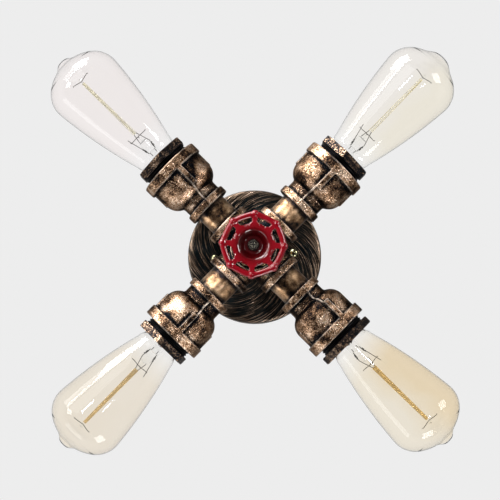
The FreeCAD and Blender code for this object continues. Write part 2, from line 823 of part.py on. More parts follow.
def wheel_spoke():
    """Flat spoke along +Z that widens in fillets into the hub and into the rim."""
    edge = wheel_plane_down - wheel_spoke_thickness / 2
    waist = wheel_spoke_width / 2
    foot = waist + wheel_spoke_fillet
    inner = hub_ring_radius
    outer = wheel_rim_radius - wheel_rim_section / 2
    spoke = Part.makeBox(wheel_spoke_thickness, 2 * foot, outer - inner + 2 * wheel_spoke_bury,
                         Vector(edge, -foot, inner - wheel_spoke_bury))
    for side in (-1, 1):
        low = inner + wheel_spoke_fillet
        high = outer - wheel_spoke_fillet
        for place in (low, high):
            spoke = spoke.cut(Part.makeCylinder(
                wheel_spoke_fillet, wheel_spoke_thickness, Vector(edge, side * foot, place), X_AXIS))
        spoke = spoke.cut(Part.makeBox(
            wheel_spoke_thickness, wheel_spoke_fillet, high - low,
            Vector(edge, min(side * waist, side * foot), low)))
    return spoke


def handwheel():
    """Cast handwheel: lobed rim, eight spokes and a deep dished hub.

    Between two spokes the rim is a shallow bow, drawn in from the circle through its lobes.
    """
    top = wheel_plane_down + wheel_spoke_thickness / 2
    floor = wheel_floor_down
    stem_hole = stem_diameter / 2 + thread_gap
    crest = (hub_ring_radius + cup_mouth_radius) / 2
    hub = lathe([
        (hub_back_down, stem_hole), (hub_back_down, hub_boss_radius),
        (floor - cup_wall, cup_floor_radius + cup_wall * 0.4),
        (top - hub_ring_depth, hub_ring_radius - 0.8), (top - hub_ring_depth + 0.8, hub_ring_radius),
        (top - hub_ring_drop, hub_ring_radius),
        (top, crest, top - hub_ring_drop, cup_mouth_radius),
        (floor, cup_floor_radius), (floor, stem_hole),
    ])
    half = 180.0 / wheel_spokes
    half_span = wheel_rim_radius * math.sin(math.radians(half))
    middle = wheel_rim_radius - wheel_rim_draw
    bow = middle - wheel_rim_radius * math.cos(math.radians(half))
    bend = (half_span ** 2 + bow ** 2) / (2 * bow)
    swing = math.degrees(math.asin(half_span / bend))
    spokes = []
    for k in range(wheel_spokes):
        spoke = wheel_spoke()
        lobe = Part.makeSphere(wheel_lobe_section / 2,
                               Vector(wheel_plane_down, 0, wheel_rim_radius))
        rim = Part.Face(Part.Wire(Part.makeCircle(
            wheel_rim_section / 2, Vector(wheel_plane_down, 0, middle), Y_AXIS)))
        bend_centre = Vector(wheel_plane_down, 0, middle - bend)
        rim.rotate(bend_centre, X_AXIS, -swing)
        rim = rim.revolve(bend_centre, X_AXIS, 2 * swing)
        rim.rotate(ORIGIN, X_AXIS, half)
        for piece in (spoke, lobe, rim):
            piece.rotate(ORIGIN, X_AXIS, 2 * half * k)
            spokes.append(piece)
    wheel = hub.multiFuse(spokes).removeSplitter()
    wheel = down(wheel, arm_drop)
    wheel.rotate(ORIGIN, Z_AXIS, wheel_turn)
    return wheel


def wheel_screw():
    """Pan-head screw with a dished face and a cross slot, that holds the wheel on the stem."""
    start = wheel_floor_down
    head = wheel_screw_head_diameter / 2
    end = start + wheel_screw_head_height
    screw = lathe([
        (start - wheel_screw_length + face_gap, 0),
        (start - wheel_screw_length + face_gap, wheel_screw_shank / 2),
        (start, wheel_screw_shank / 2), (start, head),
        (end - wheel_screw_head_height * 0.3, head), (end, head - wheel_screw_head_height * 0.3),
        (end, wheel_screw_dish_diameter / 2),
        (end - wheel_screw_dish_depth, wheel_screw_dish_diameter / 2 - wheel_screw_dish_depth),
        (end - wheel_screw_dish_depth, 0),
    ])
    slot = Part.makeBox(wheel_screw_head_height, wheel_screw_slot_length, wheel_screw_slot,
                        Vector(end - wheel_screw_dish_depth - wheel_screw_head_height / 3,
                               -wheel_screw_slot_length / 2, -wheel_screw_slot / 2))
    other_slot = slot.copy()
    other_slot.rotate(ORIGIN, X_AXIS, 90)
    screw = down(screw.cut([slot, other_slot]), arm_drop)
    screw.rotate(ORIGIN, Z_AXIS, wheel_turn)
    return screw


def terminal_blocks():
    """Two connector blocks that stand on the canopy face, one on each side of the nipple."""
    base = canopy_face_z + canopy_wall
    height = block_cable_height + block_cover
    blocks = []
    for side in (-1, 1):
        near = side * block_offset
        far = side * (block_offset + block_depth)
        blocks.append(Part.makeBox(block_width, block_depth, height,
                                   Vector(-block_width / 2, min(near, far), base)))
    return blocks


def arm_cables():
    """One sheathed lead per arm, from the lampholder to a connector block."""
    cables = []
    cable_z = canopy_face_z + canopy_wall + block_cable_height
    for k in range(arm_count):
        out = arm_direction(k)
        side = math.copysign(1, out.y)
        bend = cable_bend
        rise = out * cable_circle
        start = out * (holder_back - face_gap) + Vector(0, 0, arm_z)
        level_end = out * (cable_circle + bend) + Vector(0, 0, arm_z)
        turn = 1 - math.cos(math.radians(45))
        level_via = out * (cable_circle + bend * turn) + Vector(0, 0, arm_z + bend * turn)
        upright_start = rise + Vector(0, 0, arm_z + bend)
        small = cable_top_bend
        upright_end = rise + Vector(0, 0, cable_z - small)
        top_via = rise + Vector(0, side * small * turn, cable_z - small * turn)
        top_end = rise + Vector(0, side * small, cable_z)
        end = Vector(rise.x, side * block_offset, cable_z)
        path = Part.Wire([
            Part.LineSegment(start, level_end).toShape(),
            Part.Arc(level_end, level_via, upright_start).toShape(),
            Part.LineSegment(upright_start, upright_end).toShape(),
            Part.Arc(upright_end, top_via, top_end).toShape(),
            Part.LineSegment(top_end, end).toShape(),
        ])
        section = Part.Wire([Part.Circle(start, out, cable_diameter / 2).toShape()])
        cable = path.makePipeShell([section], True, False)
        expected = math.pi * cable_diameter ** 2 / 4 * path.Length
        print("cable", k + 1, "volume", round(cable.Volume, 1), "of", round(expected, 1))
        cables.append(cable)
    return cables


os.makedirs("parts", exist_ok=True)

save("canopy", [canopy()])
save("ceiling_bracket", [ceiling_bracket()])
save("bracket_studs", bracket_studs())
save("stud_nuts", stud_nuts())
save("ball_nuts", ball_nuts())
save("down_nipple", [down_nipple()])
save("lock_nuts", lock_nuts())
save("cross_fitting", [cross_fitting()])
save("valve_bonnet", [valve_bonnet()])
save("gland_nut", [gland_nut()])
save("valve_stem", [valve_stem()])
save("handwheel", [handwheel()])
save("wheel_screw", [wheel_screw()])
save("terminal_blocks", terminal_blocks())
save("arm_cables", arm_cables())

for number in range(arm_count):
    pieces = {
        "arm_nipple": [arm_nipple()],
        "reducer": [ribbed_reducer(rib_turns[number], parting_fin_sides[number])],
        "hex_collar": [hex_collar(collar_turns[number])],
        "lampholder": [lampholder()],
        "socket_shell": [socket_shell()],
        "socket_contact": [socket_contact()],
        "bulb_tip": [bulb_tip()],
        "bulb_insulator": [bulb_insulator()],
        "bulb_cap": [bulb_cap()],
        "bulb_glass": [bulb_glass()],
        "bulb_filament": bulb_filament(),
    }
    for name, solids in pieces.items():
        save(name + "_" + str(number + 1), [on_arm(solid, number) for solid in solids])
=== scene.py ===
import math

import bmesh
import bpy
from mathutils import Matrix, Vector


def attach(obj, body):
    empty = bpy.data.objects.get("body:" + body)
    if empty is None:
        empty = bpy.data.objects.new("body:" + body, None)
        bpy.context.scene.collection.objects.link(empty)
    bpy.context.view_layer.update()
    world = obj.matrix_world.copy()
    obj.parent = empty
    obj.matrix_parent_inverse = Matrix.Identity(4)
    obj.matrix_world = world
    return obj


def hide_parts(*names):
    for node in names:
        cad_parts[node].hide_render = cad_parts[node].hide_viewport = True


# The ceiling light as built, hanging from the ceiling at z = 0, with its arms 95 mm below.
# Lengths are in millimetres in the making of a piece, and in metres once it is in place.
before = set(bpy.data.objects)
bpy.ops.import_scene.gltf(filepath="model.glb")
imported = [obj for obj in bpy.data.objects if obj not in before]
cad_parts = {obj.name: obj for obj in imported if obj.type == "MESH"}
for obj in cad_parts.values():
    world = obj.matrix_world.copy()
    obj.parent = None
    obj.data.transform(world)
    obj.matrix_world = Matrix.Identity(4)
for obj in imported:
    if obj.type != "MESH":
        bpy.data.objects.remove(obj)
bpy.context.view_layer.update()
mm = 0.001


# Viewpoint, almost straight below the light and a little to one side, through a long lens
place = Vector((-12.0, -127.3, -1764.8)) * mm
target = Vector((3.16, -0.04, -95.0)) * mm
backward = (place - target).normalized()
top_of_view = Vector((-0.0103, 1.0, 0.0))
rightward = top_of_view.cross(backward).normalized()
upward = backward.cross(rightward)
lens = bpy.data.cameras.new("viewpoint")
lens.sensor_width = 36.0
lens.lens = 147.6
lens.clip_end = 20.0
viewpoint = bpy.data.objects.new("viewpoint", lens)
viewpoint.matrix_world = Matrix.Translation(place) @ Matrix(
    (rightward, upward, backward)).transposed().to_4x4()
bpy.context.scene.collection.objects.link(viewpoint)
bpy.context.scene.camera = viewpoint


# Studio: a pale backdrop behind the light and bright walls at its sides, with darkness
# where the viewer stands. Soft lamps leave squares and long strips of light in the bulbs.
def add(tree, kind, settings=None, sockets=None):
    """Add a node, set its choices, and give its sockets a value or a link."""
    node = tree.nodes.new("ShaderNode" + kind)
    for name, value in (settings or {}).items():
        setattr(node, name, value)
    for name, value in (sockets or {}).items():
        socket = node.inputs[name]
        if isinstance(value, bpy.types.NodeSocket):
            tree.links.new(value, socket)
        else:
            socket.default_value = value
    return node


def maths(tree, operation, *values):
    """The result of a calculation on values or links."""
    return add(tree, "Math", {"operation": operation}, dict(enumerate(values))).outputs[0]


studio = bpy.data.worlds.new("studio")
studio.use_nodes = True
bpy.context.scene.world = studio
bpy.context.scene.view_settings.view_transform = "Standard"
sky = studio.node_tree
sky.nodes.clear()
rays = add(sky, "LightPath")
direction = add(sky, "SeparateXYZ", None, {"Vector": add(sky, "TexCoord").outputs["Generated"]})
below = add(sky, "MapRange", None, {
    "Value": direction.outputs["Z"], "From Min": -0.55, "From Max": -0.05, "To Min": 0.02,
    "To Max": 0.95}).outputs["Result"]
above = add(sky, "MapRange", None, {
    "Value": direction.outputs["Z"], "From Min": 0.05, "From Max": 0.60, "To Min": 1.0,
    "To Max": 0.40}).outputs["Result"]
walls = add(sky, "MapRange", None, {
    "Value": direction.outputs["X"], "From Min": -0.7, "From Max": 0.7, "To Min": 0.18,
    "To Max": 1.0}).outputs["Result"]
ring = maths(sky, "MULTIPLY", below, maths(sky, "MULTIPLY", above, walls))
pale = add(sky, "MapRange", None, {
    "Value": direction.outputs["Z"], "From Min": -0.7, "From Max": 0.0, "To Min": 0.54,
    "To Max": 0.90}).outputs["Result"]
white = (1.0, 1.0, 1.0, 1.0)
ambient = add(sky, "Background", None, {"Color": white, "Strength": 0.35})
mirrored = add(sky, "Background", None, {"Color": white, "Strength": ring})
behind = add(sky, "Background", None, {"Color": white, "Strength": pale})
backdrop = add(sky, "Background", None, {"Color": (0.847, 0.847, 0.847, 1.0), "Strength": 1.0})
light = ambient.outputs[0]
for ray, surround in (("Glossy", mirrored), ("Transmission", behind), ("Camera", backdrop)):
    light = add(sky, "MixShader", None, {
        0: rays.outputs["Is " + ray + " Ray"], 1: light, 2: surround.outputs[0]}).outputs[0]
add(sky, "OutputWorld", None, {"Surface": light})

floor_level = -2.3
floor_mesh = bpy.data.meshes.new("floor")
floor_mesh.from_pydata([(x, y, floor_level) for x, y in ((-6, -6), (6, -6), (6, 6), (-6, 6))],
                       [], [(0, 1, 2, 3)])
floor = bpy.data.objects.new("floor", floor_mesh)
bpy.context.scene.collection.objects.link(floor)
floor_paint = bpy.data.materials.new("floor paint")
floor_paint.use_nodes = True
tree = floor_paint.node_tree
rays = add(tree, "LightPath")
looked_at = maths(tree, "MAXIMUM", rays.outputs["Is Camera Ray"],
                  rays.outputs["Is Transmission Ray"])
shader = tree.nodes["Principled BSDF"]
shader.inputs["Base Color"].default_value = (0.06, 0.06, 0.06, 1.0)
shader.inputs["Roughness"].default_value = 0.9
shader.inputs["Emission Color"].default_value = (0.82, 0.82, 0.82, 1.0)
tree.links.new(looked_at, shader.inputs["Emission Strength"])
floor_mesh.materials.append(floor_paint)


def lamp(name, spot, size, watts, lights=True):
    """A soft rectangular lamp at spot, in metres, that faces the light.

    One that doesn't light anything only shows in what is shiny, as a window does.
    """
    light = bpy.data.lights.new(name, "AREA")
    light.shape = "RECTANGLE"
    light.size = size[0]
    light.size_y = size[1]
    light.energy = watts
    holder = bpy.data.objects.new(name, light)
    facing = Vector(spot) - Vector((0.0, 0.0, -0.1))
    turn = facing.to_track_quat("Z", "Y").to_matrix().to_4x4()
    holder.matrix_world = Matrix.Translation(spot) @ turn
    holder.visible_camera = False
    holder.visible_transmission = False
    holder.visible_diffuse = lights
    bpy.context.scene.collection.objects.link(holder)


lamp("key wall lamp", (1.25, 1.25, -0.45), (1.3, 0.6), 14.0)
lamp("key front lamp", (0.85, 0.85, -1.3), (1.1, 0.9), 9.0)
lamp("low wall lamp", (1.25, -1.15, -0.4), (1.2, 0.5), 7.0)
lamp("far wall lamp", (-1.4, -0.4, -0.4), (1.0, 0.7), 1.6)
lamp("key strip", (1.2, 1.2, -0.75), (1.5, 0.24), 14.0, False)
lamp("high square", (0.7, 1.6, -0.3), (0.95, 0.95), 36.0, False)
lamp("low square", (-0.6, -1.5, -0.5), (0.7, 0.7), 18.0, False)
lamp("right square", (-1.4, 0.5, -0.8), (0.7, 0.7), 20.0, False)
lamp("left square", (1.5, 0.3, -1.0), (0.5, 0.5), 10.0, False)
lamp("high spark", (0.5, 0.6, -1.9), (0.2, 0.2), 7.0)
lamp("low spark", (-0.6, -0.3, -1.9), (0.14, 0.14), 3.5)


# Canopy, the round dish that covers the ceiling box. It is spun from thin steel, with a
# rolled rim, and finished in antique bronze with curved brush strokes.
def rounded(corners):
    """Outline points (s, r) of corners given as (s, r) or (s, r, corner radius)."""
    points = []
    count = len(corners)
    for k, corner in enumerate(corners):
        here = Vector(corner[:2])
        if len(corner) == 2:
            points.append(tuple(here))
            continue
        to_last = Vector(corners[k - 1][:2]) - here
        to_next = Vector(corners[(k + 1) % count][:2]) - here
        angle = to_last.angle(to_next)
        reach = corner[2] / math.tan(angle / 2)
        reach = min(reach, 0.49 * to_last.length, 0.49 * to_next.length)
        radius = reach * math.tan(angle / 2)
        middle = here + (to_last.normalized() + to_next.normalized()).normalized() * (
            radius / math.sin(angle / 2))
        first = here + to_last.normalized() * reach - middle
        turn = first.angle_signed(here + to_next.normalized() * reach - middle)
        steps = max(2, round(abs(turn) / math.radians(15)))
        for n in range(steps + 1):
            swing = -turn * n / steps
            points.append((
                middle.x + first.x * math.cos(swing) - first.y * math.sin(swing),
                middle.y + first.x * math.sin(swing) + first.y * math.cos(swing)))
    return points


def turned(name, outline, segments=96, shape=None, closed=True):
    """Turn an outline about +X. shape(s, r, angle) may change the radius as it goes round."""
    points, faces = [], []
    count = len(outline)
    for n in range(segments):
        angle = 2 * math.pi * n / segments
        for s, r in outline:
            if shape:
                r = shape(s, r, angle)
            points.append((s * mm, r * math.cos(angle) * mm, r * math.sin(angle) * mm))
    for n in range(segments):
        m = (n + 1) % segments
        for k in range(count if closed else count - 1):
            j = (k + 1) % count
            faces.append((n * count + k, m * count + k, m * count + j, n * count + j))
    mesh = bpy.data.meshes.new(name)
    mesh.from_pydata(points, [], faces)
    work = bmesh.new()
    work.from_mesh(mesh)
    bmesh.ops.remove_doubles(work, verts=work.verts, dist=0.000001)
    bmesh.ops.dissolve_degenerate(work, edges=work.edges, dist=0.0000005)
    bmesh.ops.recalc_face_normals(work, faces=work.faces)
    work.to_mesh(mesh)
    work.free()
    mesh.polygons.foreach_set("use_smooth", [True] * len(mesh.polygons))
    mesh.set_sharp_from_angle(angle=math.radians(35))
    piece = bpy.data.objects.new(name, mesh)
    bpy.context.scene.collection.objects.link(piece)
    return piece


def hang(piece, depth=0.0):
    """Stand a turned piece upright, +X pointing down, with its start at this depth."""
    piece.data.transform(
        Matrix.Translation((0.0, 0.0, -depth * mm))
        @ Matrix.Rotation(math.radians(90), 4, "Y"))
    return piece


def finished(piece, material, body, slot, *nodes):
    """Give a piece its material and its body, and hide the imported solids that it stands for.
    The slot is not used.
    """
    piece.data.materials.clear()
    piece.data.materials.append(material)
    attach(piece, body)
    if nodes:
        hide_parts(*nodes)


def surface(name):
    """A new material to build a finish on: (material, its node tree, its shader)."""
    material = bpy.data.materials.new(name)
    material.use_nodes = True
    return material, material.node_tree, material.node_tree.nodes["Principled BSDF"]


def metal(name, colour, roughness):
    """A new plain metal: (material, its node tree, its shader)."""
    material, tree, shader = surface(name)
    shader.inputs["Base Color"].default_value = (*colour, 1.0)
    shader.inputs["Metallic"].default_value = 1.0
    shader.inputs["Roughness"].default_value = roughness
    return material, tree, shader


def noise(tree, scale, detail=2.0, roughness=0.5, vector=None):
    """Noise value over the piece, scale being features per metre."""
    if vector is None:
        vector = add(tree, "TexCoord").outputs["Object"]
    node = add(tree, "TexNoise", None, {
        "Vector": vector, "Scale": scale, "Detail": detail, "Roughness": roughness})
    return node.outputs["Fac"]


def ramp(tree, value, stops):
    """Colours along a value, stops being (place, (red, green, blue))."""
    node = add(tree, "ValToRGB", None, {"Fac": value})
    while len(node.color_ramp.elements) < len(stops):
        node.color_ramp.elements.new(0.5)
    for element, (position, colour) in zip(node.color_ramp.elements, stops):
        element.position = position
        element.color = (*colour, 1.0)
    return node.outputs["Color"]


def spread(tree, value, low, high, from_low=0.3, from_high=0.7):
    """Stretch the middle of a noise value over low to high."""
    return add(tree, "MapRange", None, {
        "Value": value, "From Min": from_low, "From Max": from_high, "To Min": low,
        "To Max": high}).outputs["Result"]


def layered(tree, amount, under, over):
    """Colour that goes from under to over as amount goes from 0 to 1."""
    return add(tree, "Mix", {"data_type": "RGBA"}, {
        "Factor": amount, "A": under, "B": over}).outputs["Result"]


def bumped(tree, shader, value, depth):
    """Raise the surface by value, depth being its height in millimetres."""
    bump = add(tree, "Bump", None, {"Height": value, "Distance": depth * mm})
    tree.links.new(bump.outputs["Normal"], shader.inputs["Normal"])


canopy_radius, canopy_depth, canopy_bore, sheet_wall = 56.8, 22.0, 13.9, 1.2
canopy_bronze, tree, shader = metal("brushed canopy bronze", (0.1, 0.06, 0.03), 0.3)
place = add(tree, "SeparateXYZ", None, {"Vector": add(tree, "TexCoord").outputs["Object"]})
flat = add(tree, "CombineXYZ", None, {"X": place.outputs["X"], "Y": place.outputs["Y"]})
radius = add(tree, "VectorMath", {"operation": "LENGTH"}, {0: flat.outputs[0]}).outputs["Value"]
angle = maths(tree, "ARCTAN2", place.outputs["Y"], place.outputs["X"])
up_wall = maths(tree, "MULTIPLY_ADD", place.outputs["Z"], 0.8, 0.8 * canopy_depth * mm)
reach = maths(tree, "ADD", radius, up_wall)
swirl = maths(tree, "MULTIPLY_ADD", reach, -45.0, angle)
around = add(tree, "CombineXYZ", None, {
    "X": maths(tree, "COSINE", swirl), "Y": maths(tree, "SINE", swirl),
    "Z": maths(tree, "MULTIPLY", reach, 4.5)})
strokes = noise(tree, 24.0, 3.0, 0.6, around.outputs[0])
patches = noise(tree, 55.0, 2.0, 0.5)
# Lighter towards the rim: a painted highlight round the outer edge of the dish.
rim_highlight = spread(tree, radius, 0.0, 0.10, 0.046, 0.057)
strokes_with_rim_highlight = maths(tree, "ADD", strokes, rim_highlight)
stroke_colour = ramp(tree, strokes_with_rim_highlight, [
    (0.49, (0.005, 0.009, 0.011)), (0.57, (0.048, 0.038, 0.029)), (0.64, (0.29, 0.20, 0.14)),
    (0.76, (0.66, 0.52, 0.41))])
shade = add(tree, "Mix", {"data_type": "RGBA", "blend_type": "MULTIPLY"}, {
    "Factor": 0.7, "A": stroke_colour, "B": ramp(tree, patches, [
        (0.38, (0.35, 0.32, 0.3)), (0.6, (1.0, 1.0, 1.0))])})
tree.links.new(shade.outputs["Result"], shader.inputs["Base Color"])
tree.links.new(spread(tree, strokes, 0.46, 0.26), shader.inputs["Roughness"])
bumped(tree, shader, strokes, 0.45)

inside_radius = canopy_radius - sheet_wall
inside_depth = canopy_depth - sheet_wall
canopy = hang(turned("canopy_dish", rounded([
    (0.0, inside_radius, 0.3), (0.0, canopy_radius, 0.3), (canopy_depth, canopy_radius, 2.6),
    (canopy_depth, canopy_bore, 0.2), (inside_depth, canopy_bore, 0.2),
    (inside_depth, inside_radius, 1.4)]), 160))
finished(canopy, canopy_bronze, "fixture", "canopy_bronze", "canopy")


# Ceiling bracket with its studs and their nuts, in zinc-plated pressed steel. The strip is
# screwed to the ceiling box, and the canopy's two studs stand locked in it.
def dress(material, *names):
    """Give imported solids, named by their nodes, a material."""
    for name in names:
        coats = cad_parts[name].data.materials
        coats.clear()
        coats.append(material)


plated_steel, tree, shader = metal("zinc plate", (0.62, 0.62, 0.60), 0.32)
grain = noise(tree, 700.0, 3.0, 0.6)
tree.links.new(ramp(tree, grain, [
    (0.3, (0.42, 0.43, 0.42)), (0.7, (0.72, 0.71, 0.66))]), shader.inputs["Base Color"])
tree.links.new(spread(tree, grain, 0.24, 0.42), shader.inputs["Roughness"])
dress(plated_steel, "ceiling_bracket", "bracket_studs", "stud_nuts")


# Ball nuts, two caps turned from brass bar and polished. Screwed on to the lower ends of the
# studs, they hold the canopy against the ceiling.
polished_brass, tree, shader = metal("polished brass", (0.26, 0.23, 0.12), 0.1)
cloud = noise(tree, 260.0, 3.0, 0.6)
tree.links.new(ramp(tree, cloud, [
    (0.3, (0.08, 0.08, 0.045)), (0.7, (0.28, 0.26, 0.16))]), shader.inputs["Base Color"])
tree.links.new(spread(tree, cloud, 0.18, 0.08), shader.inputs["Roughness"])
ball_radius, ball_middle, ball_bore = 4.2, 5.46, 2.1
stud_offset, stud_turn = 33.5, math.radians(-3.8)
ball = [(0.0, ball_bore), (0.0, 3.6), (1.3, 3.6), (1.75, 3.4), (2.3, 2.95)]
for step in range(1, 17):
    swing = math.radians(-46 + 136 * step / 16)
    ball.append((ball_middle + ball_radius * math.sin(swing),
                 max(ball_radius * math.cos(swing), 0.0)))
ball += [(2.7, 0.0), (2.7, ball_bore)]
for number, side in enumerate((1, -1)):
    nut = hang(turned("ball_nut_" + str(number + 1), ball, 48, closed=False), canopy_depth)
    nut.data.transform(Matrix.Translation((
        side * stud_offset * math.cos(stud_turn) * mm,
        side * stud_offset * math.sin(stud_turn) * mm, 0.0)))
    finished(nut, polished_brass, "fixture", "polished_brass")
    if number == 0:
        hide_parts("ball_nuts")


# Down pipe with its two lock nuts. The pipe is a length of bronzed 3/4 inch steel tube. The
# nuts clamp its threaded top in the canopy, and its lower end is screwed into the cross.
pipe_bronze, tree, shader = metal("bronzed pipe", (0.3, 0.17, 0.08), 0.35)
spot = add(tree, "TexCoord").outputs["Object"]
fine = noise(tree, 900.0, 3.0, 0.6, spot)
wide = noise(tree, 85.0, 5.0, 0.7, spot)
bare = ramp(tree, wide, [
    (0.36, (0.020, 0.015, 0.013)), (0.43, (0.19, 0.105, 0.055)), (0.52, (0.48, 0.29, 0.155)),
    (0.68, (0.78, 0.54, 0.34))])
# Random dark mottling, with painted shade where the pipe meets the bands of the fittings, found
# by ambient occlusion.
occlusion = add(tree, "AmbientOcclusion", {"samples": 8}, {"Distance": 0.012}).outputs["AO"]
mottle_and_painted_shade = maths(tree, "MULTIPLY_ADD", wide, 0.6, occlusion)
mottled_and_shaded_colour = layered(tree, spread(tree, mottle_and_painted_shade, 0.95, 0.0, 1.05, 1.24), bare,
                  (0.006, 0.007, 0.010, 1.0))
tree.links.new(mottled_and_shaded_colour, shader.inputs["Base Color"])
tree.links.new(spread(tree, fine, 0.28, 0.42), shader.inputs["Roughness"])
bumped(tree, shader, fine, 0.08)


def threaded(start, end, crest, depth, pitch):
    """A shape for turned() that cuts a round-bottomed thread between two places."""
    def cut(s, r, angle):
        if start < s < end and abs(r - crest) < 0.01:
            fade = min(1.0, (s - start) / pitch, (end - s) / pitch)
            wave = 0.5 - 0.5 * math.cos(2 * math.pi * (s / pitch + angle / (2 * math.pi)))
            return r - depth * wave * fade
        return r
    return cut


def drawn(start, end, radius, step):
    """Outline points along a straight run, close enough together for a thread."""
    count = max(1, round((end - start) / step))
    return [(start + (end - start) * k / count, radius) for k in range(count + 1)]


pipe_radius, pipe_bore, pipe_pitch = 13.45, 10.8, 1.814
pipe_start, pipe_thread_end, plain_start, pipe_end = 12.3, 32.0, 38.0, 78.0
down_pipe = turned("down_pipe", [(pipe_start, pipe_bore)]
                   + drawn(pipe_start, plain_start, pipe_radius, 0.3)
                   + [(pipe_end, pipe_radius), (pipe_end, pipe_bore)], 96,
                   threaded(pipe_start, pipe_thread_end, pipe_radius, 0.9, pipe_pitch))
finished(hang(down_pipe), pipe_bronze, "fixture", "pipe_bronze", "down_nipple")


def hexed(flats):
    """A shape for turned() that holds the radius inside a hexagon of this width."""
    def cut(s, r, angle):
        swing = (math.degrees(angle) + 90.0) % 60.0 - 30.0
        return min(r, flats / 2 / math.cos(math.radians(swing)), flats / math.sqrt(3) * 0.994)
    return cut


def flank(start, end, bore, flats, chamfer=1.0):
    """Outline of a hexagonal nut with turned corners and a countersunk bore."""
    corner = flats / math.sqrt(3)
    drop = chamfer * 0.577
    rise = [(start + drop * k / 4, corner - chamfer + chamfer * k / 4) for k in range(5)]
    fall = [(end - drop + drop * k / 4, corner - chamfer * k / 4) for k in range(5)]
    return [(start + 0.4, bore), (start, bore + 0.4)] + rise + fall + [
        (end, bore + 0.4), (end - 0.4, bore)]


nut_thickness, nut_bore, nut_flats = 5.0, 13.5, 36.0
for number, start in enumerate((inside_depth - nut_thickness, canopy_depth)):
    nut = turned("lock_nut_" + str(number + 1),
                 flank(start, start + nut_thickness, nut_bore, nut_flats), 96, hexed(nut_flats))
    finished(hang(nut), plated_steel, "fixture", "plated_steel")
    if number == 0:
        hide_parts("lock_nuts")


# Cross fitting, the cast hub of the light. It is a sand casting with a band round each
# outlet, blackened, then rubbed back so that copper and gold show on what stands up.
def cast(node, voxel, passes, material):
    """Give a cast solid the soft corners and skin of a casting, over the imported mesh."""
    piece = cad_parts[node]
    weld = piece.modifiers.new("weld", "WELD")
    weld.merge_threshold = 0.00001
    skin = piece.modifiers.new("skin", "REMESH")
    skin.mode = "VOXEL"
    skin.voxel_size = voxel * mm
    skin.use_smooth_shade = True
    soft = piece.modifiers.new("soft", "SMOOTH")
    soft.factor = 0.5
    soft.iterations = passes
    dress(material, node)


cast_bronze, tree, shader = metal("rubbed cast bronze", (0.2, 0.12, 0.05), 0.4)
spot = add(tree, "TexCoord").outputs["Object"]
sand = noise(tree, 900.0, 4.0, 0.65, spot)
clouds = noise(tree, 75.0, 3.0, 0.6, spot)
mixed_noise = maths(tree, "MULTIPLY_ADD", clouds, 0.45, maths(tree, "MULTIPLY", sand, 0.55))
body_colour = ramp(tree, mixed_noise, [
    (0.43, (0.003, 0.003, 0.004)), (0.47, (0.13, 0.066, 0.034)), (0.53, (0.41, 0.245, 0.140)),
    (0.60, (0.84, 0.645, 0.49))])
# Patchy darkening towards hollows, beside the bands and ribs, from ambient occlusion.
occlusion = add(tree, "AmbientOcclusion", {"samples": 8}, {"Distance": 0.012}).outputs["AO"]
patchy = maths(tree, "MULTIPLY_ADD", clouds, 0.5, occlusion)
darker_in_hollows = layered(tree, spread(tree, patchy, 1.0, 0.0, 1.14, 1.26), body_colour,
                (0.0015, 0.0025, 0.004, 1.0))
# Lighter, less metallic colour along the edges: rubbed wear, lightened further as a painted
# highlight.
edge = spread(tree, add(tree, "AmbientOcclusion", {
    "samples": 8, "inside": True, "only_local": True}, {"Distance": 0.0013}).outputs["AO"],
    1.0, 0.0, 0.66, 0.92)
rubbed = maths(tree, "MULTIPLY", edge, spread(
    tree, noise(tree, 130.0, 2.0, 0.5, spot), 0.25, 1.0, 0.38, 0.56))
worn_and_highlit = layered(tree, rubbed, darker_in_hollows, (0.90, 0.76, 0.64, 1.0))
tree.links.new(worn_and_highlit, shader.inputs["Base Color"])
tree.links.new(spread(tree, rubbed, 0.78, 0.25, 0.0, 1.0), shader.inputs["Metallic"])
tree.links.new(spread(tree, sand, 0.40, 0.20), shader.inputs["Roughness"])
shader.inputs["Specular IOR Level"].default_value = 0.08
shader.inputs["Specular Tint"].default_value = (0.62, 0.52, 0.46, 1.0)
bumped(tree, shader, sand, 0.4)
cast("cross_fitting", 0.45, 2, cast_bronze)


# Arm nipples, four short plain pipes of the same bronzed tube. Each is screwed into the cross
# at one end and into a reducer at the other.
arm_depth = 95.0
nipple_start, nipple_end = 19.0, 62.6


def on_arm(piece, number):
    """Carry a piece made along +X out to its own arm."""
    piece.data.transform(
        Matrix.Translation((0.0, 0.0, -arm_depth * mm))
        @ Matrix.Rotation(math.radians(45.0 + 90.0 * number), 4, "Z"))
    return piece


for number in range(4):
    pipe = turned("arm_pipe_" + str(number + 1), [
        (nipple_start, pipe_bore), (nipple_start, pipe_radius),
        (nipple_end, pipe_radius), (nipple_end, pipe_bore)])
    finished(on_arm(pipe, number), pipe_bronze, "fixture", "pipe_bronze",
             "arm_nipple_" + str(number + 1))


# Reducers, the four cast bells that widen the pipe to take a lampholder. Each has a band
# at both ends and four ribs, and is screwed on by hand, so the ribs stand as they stopped.
for number in range(4):
    cast("reducer_" + str(number + 1), 0.45, 2, cast_bronze)


